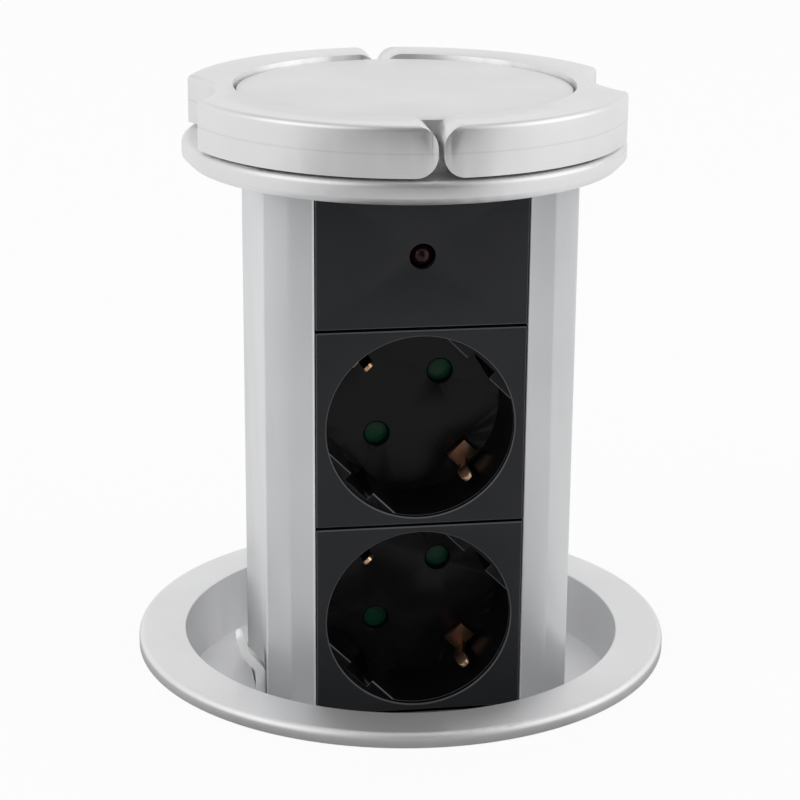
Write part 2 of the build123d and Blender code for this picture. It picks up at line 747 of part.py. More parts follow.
# Two lead wires from the lamp to its board
with BuildPart() as lamp_leads:
    with BuildSketch(front_plane(wing_back_y + lamp_stem, indicator_z)):
        with Locations((-1.27, 0), (1.27, 0)):
            Circle(0.3)
    extrude(amount=-(board_depth - lamp_stem))
save(lamp_leads, "lamp_leads")

# Circuit board on the panel's posts
with BuildPart() as indicator_board:
    with BuildSketch(front_plane(wing_back_y + board_depth, indicator_z)):
        Rectangle(2 * board_half_width, 2 * board_half_height)
        with Locations(*corner_points(board_post_x, board_post_z)):
            Circle(m25_radius, mode=Mode.SUBTRACT)
    extrude(amount=-board_thickness)
save(indicator_board, "indicator_board")

# Screws of the circuit board
with BuildPart() as board_screws:
    for x, z in corner_points(board_post_x, board_post_z):
        behind = Plane(origin=(x, wing_back_y + board_depth + board_thickness, indicator_z + z),
                       x_dir=(1, 0, 0), z_dir=(0, 1, 0))
        add(cheese_head_screw(m25_radius * 0.75, m25_head, board_thickness + board_depth * 0.6, behind))
save(board_screws, "board_screws")

# Overvoltage varistors on the board
with BuildPart() as varistors:
    with BuildSketch(front_plane(wing_back_y + board_depth + board_thickness, indicator_z)):
        with Locations((-varistor_radius - 0.5, 0), (varistor_radius + 0.5, 0)):
            Circle(varistor_radius)
    extrude(amount=-varistor_thickness)
    fillet(varistors.faces().sort_by(Axis.Y)[-2:].edges(), radius=0.8)
save(varistors, "varistors")

# Blank module that closes the profile below the sockets
with BuildPart() as lower_blank:
    add(module_block(rim_top_z, lower_socket_bottom, wing_back_y + board_depth / 2))
save(lower_blank, "lower_blank")

# Three busbars that feed both sockets: line, earth and neutral
bars_bottom = rim_top_z + foot_tab
with BuildPart() as busbars:
    for x, front in ((-busbar_offset, bars_front_y), (0, strap_back_y), (busbar_offset, bars_front_y)):
        with BuildSketch(Plane.XY.offset(bars_bottom)):
            with Locations((x, front + busbar_thickness / 2)):
                Rectangle(busbar_width, busbar_thickness)
        extrude(amount=indicator_bottom - bars_bottom)
save(busbars, "busbars")

# Insulating carrier that holds the busbars against the back of the profile
with BuildPart() as busbar_carrier:
    with BuildSketch(Plane.XY.offset(bars_bottom)):
        with Locations((0, bars_back_y + carrier_thickness / 2)):
            Rectangle(2 * carrier_half_width, carrier_thickness)
        rib_front = strap_back_y + busbar_thickness
        with Locations((0, (rib_front + bars_back_y) / 2)):
            Rectangle(busbar_width / 2, bars_back_y - rib_front)
        leg_front = bars_back_y
        with Locations((-carrier_half_width + 1, (leg_front + inner_half_depth) / 2),
                       (carrier_half_width - 1, (leg_front + inner_half_depth) / 2)):
            Rectangle(2, inner_half_depth - leg_front)
    extrude(amount=indicator_bottom - bars_bottom)
save(busbar_carrier, "busbar_carrier")

# Terminal block at the lower ends of the busbars
terminal_front_y = strap_back_y - terminal_depth
with BuildPart() as terminal_block:
    with BuildSketch(Plane.XY.offset(bars_bottom)):
        with Locations((0, terminal_front_y + terminal_depth / 2)):
            Rectangle(2 * terminal_half_width, terminal_depth)
        for x in (-busbar_offset, busbar_offset):
            with Locations((x, strap_back_y + busbar_air / 2)):
                Rectangle(busbar_width, busbar_air)
    extrude(amount=terminal_height)
    with BuildSketch(front_plane(terminal_front_y, bars_bottom + terminal_height / 2)):
        with Locations((-busbar_offset, 0), (0, 0), (busbar_offset, 0)):
            Circle(m3_radius + screw_gap)
    extrude(amount=-terminal_depth * 0.7, mode=Mode.SUBTRACT)
save(terminal_block, "terminal_block")

# Clamping screws of the terminal block
with BuildPart() as terminal_screws:
    for x in (-busbar_offset, 0, busbar_offset):
        before = Plane(origin=(x, terminal_front_y, bars_bottom + terminal_height / 2),
                       x_dir=(1, 0, 0), z_dir=(0, -1, 0))
        add(cheese_head_screw(m3_radius, m3_head, terminal_depth * 0.65, before))
save(terminal_screws, "terminal_screws")

# Foot of the tower: a rim that stops under the guide frame, open in the middle for the cores
with BuildPart() as tower_foot:
    with BuildSketch(Plane.XY.offset(rim_bottom_z)):
        Circle(rim_radius)
        Circle(foot_opening_radius, mode=Mode.SUBTRACT)
        with Locations(*corner_points(port_x, port_y)):
            Circle(m3_radius + screw_gap, mode=Mode.SUBTRACT)
    extrude(amount=foot_rim)
    chamfer(tower_foot.faces().sort_by(Axis.Z)[-1].outer_wire().edges(), length=rim_lead)
    with BuildSketch(Plane.XY.offset(rim_top_z)):
        side_tab_x = inner_half_width - side_clearance - tab_thickness / 2
        with Locations((-side_tab_x, 0), (side_tab_x, 0)):
            Rectangle(tab_thickness, profile_half_depth / 2)
        with Locations((0, inner_half_depth - side_clearance - tab_thickness / 2)):
            Rectangle(profile_half_depth / 2, tab_thickness)
    extrude(amount=foot_tab)
    with BuildSketch(Plane.XY.offset(rim_bottom_z)):
        with Locations(*corner_points(port_x, port_y)):
            Circle(m3_head + fit_gap)
    extrude(amount=screw_head_height + fit_gap, mode=Mode.SUBTRACT)
    with BuildSketch(Plane.XY.offset(rim_bottom_z)):
        with PolarLocations(cup_screw_circle, 4):
            Circle(m25_radius + screw_gap)
    extrude(amount=foot_rim * 0.8, mode=Mode.SUBTRACT)
save(tower_foot, "tower_foot")

# Cup below the foot, which carries the cable gland
with BuildPart() as gland_cup:
    with BuildSketch(Plane.XY.offset(cup_bottom_z)):
        Circle(cup_radius)
    extrude(amount=cup_height)
    with BuildSketch(Plane.XY.offset(rim_bottom_z - cup_lip_thickness)):
        Circle(cup_radius)
        with PolarLocations(cup_screw_circle, 4):
            Circle(cup_ear_radius)
    extrude(amount=cup_lip_thickness)
    with BuildSketch(Plane.XY.offset(cup_bottom_z + cup_wall)):
        Circle(cup_radius - cup_wall)
    extrude(amount=cup_height - cup_wall, mode=Mode.SUBTRACT)
    with BuildSketch(Plane.XY.offset(cup_bottom_z)):
        Circle(gland_thread_radius + screw_gap)
    extrude(amount=cup_wall, mode=Mode.SUBTRACT)
    with BuildSketch(Plane.XY.offset(rim_bottom_z - cup_lip_thickness)):
        with PolarLocations(cup_screw_circle, 4):
            Circle(m25_radius + screw_gap)
    extrude(amount=cup_lip_thickness, mode=Mode.SUBTRACT)
save(gland_cup, "gland_cup")

# Screws that hold the cup to the foot
with BuildPart() as cup_screws:
    lip_z = rim_bottom_z - cup_lip_thickness
    for x, y in ((cup_screw_circle, 0), (0, cup_screw_circle), (-cup_screw_circle, 0), (0, -cup_screw_circle)):
        below = Plane(origin=(x, y, lip_z), x_dir=(1, 0, 0), z_dir=(0, 0, -1))
        add(cheese_head_screw(m25_radius, m25_head, cup_lip_thickness + foot_rim * 0.7, below))
save(cup_screws, "cup_screws")

# Screws that hold the foot to the profile's screw ports
with BuildPart() as foot_screws:
    seat_z = rim_bottom_z + screw_head_height + fit_gap
    for x, y in corner_points(port_x, port_y):
        below = Plane(origin=(x, y, seat_z), x_dir=(1, 0, 0), z_dir=(0, 0, -1))
        add(cheese_head_screw(m3_radius, m3_head, foot_rim + foot_tab, below))
save(foot_screws, "foot_screws")

# Cable gland body, screwed through the bottom of the cup
with BuildPart() as gland_body:
    with BuildSketch(Plane.XY.offset(cup_bottom_z - gland_flange)):
        RegularPolygon(gland_hex_radius, 6)
    extrude(amount=gland_flange)
    with BuildSketch(Plane.XY.offset(cup_bottom_z)):
        Circle(gland_thread_radius)
    extrude(amount=gland_thread_length)
    with BuildSketch(Plane.XY.offset(cup_bottom_z - gland_flange)):
        Circle(gland_thread_radius)
    extrude(amount=-gland_stem_length)
    with BuildSketch(Plane.XY.offset(cup_bottom_z - gland_flange - gland_cap_height)):
        Circle(gland_bore_radius)
    extrude(amount=gland_cap_height + gland_flange + gland_thread_length + cup_wall, mode=Mode.SUBTRACT)
save(gland_body, "gland_body")

# Lock nut of the gland, inside the cup
with BuildPart() as gland_locknut:
    with BuildSketch(Plane.XY.offset(cup_bottom_z + cup_wall)):
        RegularPolygon(gland_hex_radius, 6)
        Circle(gland_thread_radius + screw_gap, mode=Mode.SUBTRACT)
    extrude(amount=gland_nut_height)
save(gland_locknut, "gland_locknut")

# Rubber seal of the gland, between the stem and the cap nut
with BuildPart() as gland_seal:
    with BuildSketch(Plane.XY.offset(cup_bottom_z - gland_flange - gland_stem_length)):
        Circle(gland_thread_radius - fit_gap)
        Circle(gland_bore_radius + fit_gap, mode=Mode.SUBTRACT)
    extrude(amount=-gland_seal_length)
save(gland_seal, "gland_seal")

# Domed cap nut of the gland, which closes on the cable
with BuildPart() as gland_cap:
    cap_top_z = cup_bottom_z - gland_flange - fit_gap
    with BuildSketch(Plane.XY.offset(cap_top_z)):
        Circle(gland_cap_radius)
    extrude(amount=-gland_cap_height)
    fillet(gland_cap.faces().sort_by(Axis.Z)[0].edges(), radius=2.5)
    with BuildSketch(Plane.XY.offset(cap_top_z)):
        Circle(gland_thread_radius + screw_gap)
    extrude(amount=-gland_stem_length - gland_seal_length, mode=Mode.SUBTRACT)
    with BuildSketch(Plane.XY.offset(cap_top_z)):
        Circle(gland_bore_radius)
    extrude(amount=-gland_cap_height, mode=Mode.SUBTRACT)
save(gland_cap, "gland_cap")

# Thumb catch: a bent spring leaf on a pivot pin, with a shoulder that stands on the recess floor
with BuildPart() as thumb_catch:
    with BuildSketch(Plane.XZ.offset(-catch_middle_y)):
        with BuildLine():
            FilletPolyline(
                (catch_pivot_x, catch_pivot_height),
                (catch_straight_x, catch_pivot_height + 2 * catch_eye_radius),
                (catch_straight_x, catch_bend_height),
                (catch_knee_x, catch_knee_height),
                (catch_tip_x, catch_tip_height), radius=1.6)
            offset(amount=catch_thickness / 2, side=Side.BOTH, mode=Mode.REPLACE)
        make_face()
        with Locations((catch_pivot_x, catch_pivot_height)):
            Circle(catch_eye_radius)
            Circle(catch_pin_radius + pivot_gap, mode=Mode.SUBTRACT)
    extrude(amount=catch_width / 2, both=True)
    with BuildSketch(Plane.XZ.offset(-catch_middle_y)):
        with BuildLine():
            foot_z = recess_floor_z + pivot_gap
            back_x = catch_straight_x + catch_thickness / 2
            Polyline((back_x, foot_z), (shoulder_outer_x, foot_z),
                     (shoulder_outer_x + catch_shoulder_reach, foot_z + catch_shoulder_height),
                     (back_x, foot_z + catch_shoulder_height), close=True)
        make_face()
    extrude(amount=catch_shoulder_width / 2, both=True)
save(thumb_catch, "thumb_catch")

# Pivot pin of the catch, set in the wall of the profile
with BuildPart() as catch_pin:
    with BuildSketch(Plane.XZ.offset(-catch_middle_y)):
        with Locations((catch_pivot_x, catch_pivot_height)):
            Circle(catch_pin_radius)
    extrude(amount=catch_pin_length / 2 - fit_gap, both=True)
save(catch_pin, "catch_pin")

# Lid plate on top of the tower, screwed to the profile
lid_screw_points = corner_points(port_x, port_y)
grip_screw_reach = (grip_inner_radius + lid_radius) / 2 * math.sqrt(0.5)
grip_screw_points = corner_points(grip_screw_reach, grip_screw_reach)
with BuildPart() as lid_plate:
    with BuildSketch(Plane.XY.offset(tower_height)):
        Circle(lid_radius)
    extrude(amount=lid_plate_thickness)
    fillet(lid_plate.edges().sort_by(Axis.Z)[-1], radius=lid_plate_round)
    chamfer(lid_plate.faces().sort_by(Axis.Z)[0].edges(), length=lid_plate_chamfer)
    with Locations(*[Location((x, y, lid_plate_top)) for x, y in lid_screw_points]):
        CounterSinkHole(m3_radius + screw_gap, m3_head + screw_gap, depth=lid_plate_thickness)
    with Locations(*[Location((x, y, tower_height), (180, 0, 0)) for x, y in grip_screw_points]):
        CounterSinkHole(m3_radius + screw_gap, m3_head + screw_gap, depth=lid_plate_thickness)
save(lid_plate, "lid_plate")

# Screws through the lid plate into the profile
with BuildPart() as lid_screws:
    for x, y in lid_screw_points:
        above = Plane(origin=(x, y, lid_plate_top), x_dir=(1, 0, 0), z_dir=(0, 0, 1))
        add(countersunk_screw(m3_radius, m3_head, lid_plate_thickness + lid_screw_hold, above))
save(lid_screws, "lid_screws")

# Screws through the lid plate into the grip ring
with BuildPart() as grip_screws:
    for x, y in grip_screw_points:
        below = Plane(origin=(x, y, tower_height), x_dir=(1, 0, 0), z_dir=(0, 0, -1))
        add(countersunk_screw(m3_radius, m3_head, lid_plate_thickness + grip_height * 0.6, below))
save(grip_screws, "grip_screws")


def notch_tool(side):
    """Gap between two rounded ends of the grip ring, at the front or the back."""
    end_height = grip_height - grip_shadow
    middle_z = grip_top - end_height / 2
    with BuildPart(mode=Mode.PRIVATE) as tool:
        with BuildSketch(Plane.XZ.offset(0)):
            with Locations((0, middle_z)):
                Rectangle(notch_gap + 2 * notch_round, end_height + 2 * grip_shadow)
            for end in (-1, 1):
                with Locations((end * (notch_gap / 2 + 2 * notch_round), middle_z)):
                    RectangleRounded(4 * notch_round, end_height, notch_round, mode=Mode.SUBTRACT)
        extrude(amount=-side * 2 * lid_radius)
        with BuildSketch(Plane.XY.offset(lid_plate_top - 1)):
            Circle(grip_inner_radius + grip_collar)
        extrude(amount=grip_collar_height + 1, mode=Mode.SUBTRACT)
    return tool.part


# Grip ring: a raised ring with two finger scallops and two narrow notches
with BuildPart() as grip_ring:
    with BuildSketch(Plane.XY.offset(lid_plate_top)):
        Circle(lid_radius)
        scallop_centre = lid_radius - scallop_depth + scallop_radius
        with Locations((-scallop_centre, 0), (scallop_centre, 0)):
            Circle(scallop_radius, mode=Mode.SUBTRACT)
    extrude(amount=grip_height)
    fillet(grip_ring.faces().sort_by(Axis.Z)[-1].edges(), radius=grip_round)
    with BuildSketch(Plane.XY.offset(lid_plate_top)):
        Circle(2 * lid_radius)
        Circle(lid_radius - scallop_depth - grip_shadow_width, mode=Mode.SUBTRACT)
    extrude(amount=grip_shadow, mode=Mode.SUBTRACT)
    with BuildSketch(Plane.XY.offset(lid_plate_top)):
        Circle(grip_inner_radius)
    extrude(amount=grip_height, mode=Mode.SUBTRACT)
    for side in (-1, 1):
        add(notch_tool(side), mode=Mode.SUBTRACT)
    with BuildSketch(Plane.XY.offset(lid_plate_top)):
        with Locations(*grip_screw_points):
            Circle(m3_radius + screw_gap)
    extrude(amount=grip_height * 0.65, mode=Mode.SUBTRACT)
save(grip_ring, "grip_ring")

# Centre cap that hides the lid screws
with BuildPart() as centre_cap:
    cap_top = grip_top - cap_drop
    with BuildSketch(Plane.XZ):
        with BuildLine():
            Polyline(
                (0, cap_top), (cap_radius - cap_bevel_width, cap_top), (cap_radius, cap_top - cap_bevel_drop),
                (cap_radius, lid_plate_top), (cap_radius - cap_wall, lid_plate_top),
                (cap_radius - cap_wall, cap_top - cap_bevel_drop - cap_wall),
                (0, cap_top - cap_bevel_drop - cap_wall), close=True)
        make_face()
    revolve(axis=Axis.Z)
save(centre_cap, "centre_cap")

print("lid travel", tower_height - recess_floor_z - stop_gap)
print("barrel outer radius", barrel_outer_radius, "socket centres", lower_socket_z, upper_socket_z)
print("catch pivot", catch_pivot_x, catch_middle_y, catch_pivot_height)
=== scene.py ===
import math
import bmesh
import bpy
from mathutils import Matrix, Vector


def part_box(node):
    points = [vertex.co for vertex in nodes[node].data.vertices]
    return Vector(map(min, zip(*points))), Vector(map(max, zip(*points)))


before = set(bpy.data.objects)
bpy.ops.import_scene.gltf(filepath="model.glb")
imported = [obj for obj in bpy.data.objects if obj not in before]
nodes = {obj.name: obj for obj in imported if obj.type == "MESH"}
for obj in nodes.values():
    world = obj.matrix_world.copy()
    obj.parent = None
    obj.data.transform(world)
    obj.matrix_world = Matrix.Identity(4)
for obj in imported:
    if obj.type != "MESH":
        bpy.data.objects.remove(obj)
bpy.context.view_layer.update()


# Lid plate, grip ring and centre cap
# Three turned aluminium pieces that close the worktop when the tower is down. They are bead blasted
# and clear anodised: a pale satin metal whose fine grit breaks reflections into soft gradients.
def linear(hex_colour):
    """An sRGB hex colour as linear light with full alpha."""
    parts = [int(hex_colour[i:i + 2], 16) / 255 for i in (1, 3, 5)]
    return tuple(c / 12.92 if c <= 0.04045 else ((c + 0.055) / 1.055) ** 2.4 for c in parts) + (1.0,)


def add_node(tree, kind, settings=None, values=None, links=None):
    """Adds one node with its settings, its input values and its input links."""
    node = tree.nodes.new(kind)
    for name, value in (settings or {}).items():
        setattr(node, name, value)
    for socket, value in (values or {}).items():
        node.inputs[socket].default_value = value
    for socket, source in (links or {}).items():
        tree.links.new(source, node.inputs[socket])
    return node


def new_material(name):
    """An empty node material of that name, and its tree."""
    material = bpy.data.materials.new(name)
    material.use_nodes = True
    material.node_tree.nodes.clear()
    return material, material.node_tree


def dress(material, *names):
    """Gives CAD nodes one material."""
    for name in names:
        mesh = nodes[name].data
        mesh.materials.clear()
        mesh.materials.append(material)


def soften(width_mm, *names, sharper_than=32, clamp=True):
    """Breaks the sharp corners of CAD nodes by a small radius, and shades their curves smoothly."""
    for name in names:
        piece = nodes[name]
        piece.data.shade_smooth()
        weld = piece.modifiers.new("joined corners", "WELD")
        weld.merge_threshold = 0.000002
        edge = piece.modifiers.new("broken edge", "BEVEL")
        edge.width = width_mm / 1000
        edge.segments = 2
        edge.use_clamp_overlap = clamp
        edge.limit_method = "ANGLE"
        edge.angle_limit = math.radians(sharper_than)
        edge.harden_normals = True


def cloud_tone(tree, place, cloud_mm, detail, drift):
    """A tone that drifts in soft clouds that many millimetres wide, below and above 1."""
    cloud = add_node(tree, "ShaderNodeTexNoise", values={"Scale": 1000 / cloud_mm, "Detail": detail},
                     links={"Vector": place.outputs["Object"]})
    tone = add_node(tree, "ShaderNodeMapRange",
                    values={"From Min": 0.3, "From Max": 0.7, "To Min": 1 - drift, "To Max": 1 + drift},
                    links={"Value": cloud.outputs["Fac"]})
    return tone.outputs["Result"]


def fine_line(tree, place, axis, at_mm, width_mm, tone, front_of_mm=None):
    """The tone of one line, square to an axis at that many millimetres, and 1 beside it.

    Where a Y is given, only what lies in front of it has the line.
    """
    axes = add_node(tree, "ShaderNodeSeparateXYZ", links={"Vector": place.outputs["Object"]})
    away = add_node(tree, "ShaderNodeMath", {"operation": "SUBTRACT"}, {1: at_mm / 1000},
                    {0: axes.outputs[axis]})
    off_line = add_node(tree, "ShaderNodeMath", {"operation": "ABSOLUTE"}, links={0: away.outputs["Value"]})
    if front_of_mm is not None:
        behind = add_node(tree, "ShaderNodeMath", {"operation": "SUBTRACT"}, {1: front_of_mm / 1000},
                          {0: axes.outputs["Y"]})
        off_line = add_node(tree, "ShaderNodeMath", {"operation": "MAXIMUM"},
                            links={0: off_line.outputs["Value"], 1: behind.outputs["Value"]})
    line = add_node(tree, "ShaderNodeMapRange",
                    values={"From Min": 0.4 * width_mm / 1000, "From Max": 0.8 * width_mm / 1000,
                            "To Min": tone, "To Max": 1.0}, links={"Value": off_line.outputs["Value"]})
    return line.outputs["Result"]


def anodised_aluminium(name, colour, roughness, grit_mm=0.5, grit_depth_mm=0.012, drawn=1.0, metallic=0.85,
                       sideways=0.0, line=None):
    """Blasted or drawn aluminium under a clear anodic layer.

    Drawn above 1 stretches the grit along Z, as on an extrusion. Sideways is how much more the surface
    scatters light across Z than along it. Real grit is near 0.1 mm, and is drawn coarser so that it shows.
    """
    material, tree = new_material(name)
    place = add_node(tree, "ShaderNodeTexCoord")
    stretch = add_node(tree, "ShaderNodeMapping", values={"Scale": (1, 1, 1 / drawn)},
                       links={"Vector": place.outputs["Object"]})
    grit = add_node(tree, "ShaderNodeTexNoise", values={"Scale": 1000 / grit_mm, "Detail": 3, "Roughness": 0.6},
                    links={"Vector": stretch.outputs["Vector"]})
    tone = cloud_tone(tree, place, cloud_mm=24, detail=2, drift=0.03)
    if line:
        marked = add_node(tree, "ShaderNodeMath", {"operation": "MULTIPLY"},
                          links={0: tone, 1: fine_line(tree, place, **line)})
        tone = marked.outputs["Value"]
    tinted = add_node(tree, "ShaderNodeMix", {"data_type": "RGBA", "blend_type": "MULTIPLY"},
                      {"Factor": 1.0, "A": linear(colour)}, {"B": tone})
    matt = add_node(tree, "ShaderNodeMapRange",
                    values={"From Min": 0.3, "From Max": 0.7, "To Min": roughness - 0.04,
                            "To Max": roughness + 0.05}, links={"Value": grit.outputs["Fac"]})
    pitted = add_node(tree, "ShaderNodeBump", values={"Strength": 0.35, "Distance": grit_depth_mm / 1000},
                      links={"Height": grit.outputs["Fac"]})
    across = add_node(tree, "ShaderNodeTangent", {"direction_type": "RADIAL", "axis": "Z"})
    metal = add_node(tree, "ShaderNodeBsdfPrincipled", values={"Metallic": metallic, "Anisotropic": sideways},
                     links={"Base Color": tinted.outputs["Result"], "Roughness": matt.outputs["Result"],
                            "Normal": pitted.outputs["Normal"], "Tangent": across.outputs["Tangent"]})
    add_node(tree, "ShaderNodeOutputMaterial", links={"Surface": metal.outputs["BSDF"]})
    return material


blasted_lid = anodised_aluminium("bead blasted anodised aluminium", "#E8E8E9", 0.37)
dress(blasted_lid, "lid_plate", "centre_cap")
ring_low, ring_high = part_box("grip_ring")
parting_line = {"axis": "Z", "at_mm": (ring_low.z + ring_high.z) * 500, "width_mm": 0.3, "tone": 0.92}
blasted_ring = anodised_aluminium("bead blasted anodised ring aluminium", "#EAEAEB", 0.33, line=parting_line)
dress(blasted_ring, "grip_ring")
soften(0.2, "lid_plate")
soften(0.7, "centre_cap")
soften(0.3, "grip_ring")


# Tower profile
# One aluminium extrusion, sawn to length and clear anodised. The die leaves fine lines along its height,
# which spread each reflection sideways. Along the left corner beside the window a thin pale line is a
# painted highlight.
painted_window_highlight = {"axis": "X", "at_mm": -22.0, "width_mm": 0.5, "tone": 1.2, "front_of_mm": -24.0}
extruded = anodised_aluminium("extruded anodised aluminium", "#E4E5E6", 0.48, grit_mm=0.35,
                              grit_depth_mm=0.010, drawn=40, metallic=0.6, sideways=0.6, line=painted_window_highlight)
dress(extruded, "tower_profile")
soften(0.4, "tower_profile", sharper_than=12, clamp=False)


# Trim flange
# A turned aluminium ring with a deep recess, blasted and anodised like the lid.
blasted_flange = anodised_aluminium("bead blasted anodised flange aluminium", "#F0F0F1", 0.46)
dress(blasted_flange, "trim_flange")
soften(0.4, "trim_flange", sharper_than=60)


# Socket modules, indicator panel and blank
# Injection moulded black plastic. The faces have a fine spark-eroded satin, and the wells are polished,
# so they mirror the light as small sharp glints, and painted shade darkens their colour. The corners of the
# face and of the guide lands carry a painted highlight.
def set_stops(ramp_node, stops):
    """Gives a colour ramp its stops, each a position from 0 to 1 and a linear colour."""
    ramp = ramp_node.color_ramp.elements
    while len(ramp) < len(stops):
        ramp.new(1.0)
    for stop, (position, colour) in zip(ramp, stops):
        stop.position = position
        stop.color = colour


def faced_plastic(name, face_colour, painted_highlight_colour, shaded_well_colour, face_y_mm):
    """Black plastic, satin on the front face, with a painted highlight along its corners, and polished behind
    it, where painted shade darkens the wells.

    The real grain of the face is near 0.1 mm wide, and is drawn coarser so that it shows.
    """
    material, tree = new_material(name)
    place = add_node(tree, "ShaderNodeTexCoord")
    axes = add_node(tree, "ShaderNodeSeparateXYZ", links={"Vector": place.outputs["Object"]})
    highlight_to_mm, well_from_mm, deepest_mm = 0.28, 0.42, 2.0
    inside = add_node(tree, "ShaderNodeMapRange",
                      values={"From Min": (face_y_mm + highlight_to_mm) / 1000,
                              "From Max": (face_y_mm + well_from_mm) / 1000},
                      links={"Value": axes.outputs["Y"]})
    behind = add_node(tree, "ShaderNodeMapRange",
                      values={"From Min": face_y_mm / 1000, "From Max": (face_y_mm + deepest_mm) / 1000},
                      links={"Value": axes.outputs["Y"]})
    layers = add_node(tree, "ShaderNodeValToRGB", links={"Fac": behind.outputs["Result"]})
    # Depths behind the face in millimetres: its corner with a painted highlight, the well in painted shade, and
    #     the corners of the guide lands with a painted highlight.
    colours = ((0.0, face_colour), (0.03, face_colour), (0.10, painted_highlight_colour), (highlight_to_mm, painted_highlight_colour),
               (well_from_mm, shaded_well_colour), (1.33, shaded_well_colour), (1.38, painted_highlight_colour), (1.56, painted_highlight_colour),
               (1.64, shaded_well_colour))
    set_stops(layers, [(depth_mm / deepest_mm, linear(colour)) for depth_mm, colour in colours])
    grain = add_node(tree, "ShaderNodeTexNoise", values={"Scale": 1000 / 0.4, "Detail": 2},
                     links={"Vector": place.outputs["Object"]})
    tinted = add_node(tree, "ShaderNodeMix", {"data_type": "RGBA", "blend_type": "MULTIPLY"}, {"Factor": 1.0},
                      {"A": layers.outputs["Color"], "B": cloud_tone(tree, place, 18, detail=3, drift=0.1)})
    matt = add_node(tree, "ShaderNodeMapRange", values={"To Min": 0.46, "To Max": 0.24},
                    links={"Value": inside.outputs["Result"]})
    grain_share = add_node(tree, "ShaderNodeMapRange", values={"To Min": 0.3, "To Max": 0.04},
                           links={"Value": inside.outputs["Result"]})
    eroded = add_node(tree, "ShaderNodeBump", values={"Distance": 0.00001},
                      links={"Height": grain.outputs["Fac"], "Strength": grain_share.outputs["Result"]})
    plastic = add_node(tree, "ShaderNodeBsdfPrincipled", values={"IOR": 1.53, "Specular IOR Level": 0.22},
                       links={"Base Color": tinted.outputs["Result"], "Roughness": matt.outputs["Result"],
                              "Normal": eroded.outputs["Normal"]})
    add_node(tree, "ShaderNodeOutputMaterial", links={"Surface": plastic.outputs["BSDF"]})
    return material


face_y_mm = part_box("socket_upper")[0].y * 1000
# Its pale edge colour is a painted highlight, and its dark well colour holds painted shade.
socket_black = faced_plastic("satin and polished black polycarbonate", face_colour="#262729",
                             painted_highlight_colour="#505256", shaded_well_colour="#0B0B0D", face_y_mm=face_y_mm)
dress(socket_black, "socket_upper", "socket_lower", "indicator_panel", "lower_blank")
soften(0.2, "socket_upper", "socket_lower", "indicator_panel", "lower_blank")


# Shutters
# Moulded in green plastic, so that a closed pin hole is easy to see. Each turns on the contact base.
def moulded_plastic(name, colour, roughness, grain_mm, grain_depth_mm, gloss=0.5):
    """Moulded plastic with an eroded grain, which is drawn coarser than the real 0.1 mm so that it shows."""
    material, tree = new_material(name)
    place = add_node(tree, "ShaderNodeTexCoord")
    grain = add_node(tree, "ShaderNodeTexNoise", values={"Scale": 1000 / grain_mm, "Detail": 2},
                     links={"Vector": place.outputs["Object"]})
    tinted = add_node(tree, "ShaderNodeMix", {"data_type": "RGBA", "blend_type": "MULTIPLY"},
                      {"Factor": 1.0, "A": linear(colour)},
                      {"B": cloud_tone(tree, place, 15, detail=3, drift=0.08)})
    eroded = add_node(tree, "ShaderNodeBump", values={"Strength": 0.3, "Distance": grain_depth_mm / 1000},
                      links={"Height": grain.outputs["Fac"]})
    plastic = add_node(tree, "ShaderNodeBsdfPrincipled",
                       values={"Roughness": roughness, "IOR": 1.53, "Specular IOR Level": gloss},
                       links={"Base Color": tinted.outputs["Result"], "Normal": eroded.outputs["Normal"]})
    add_node(tree, "ShaderNodeOutputMaterial", links={"Surface": plastic.outputs["BSDF"]})
    return material


shutter_green = moulded_plastic("moulded green shutter plastic", "#12402B", 0.35, 0.5, 0.01, gloss=0.2)
dress(shutter_green, "shutter_upper", "shutter_lower")
soften(0.25, "shutter_upper", "shutter_lower")


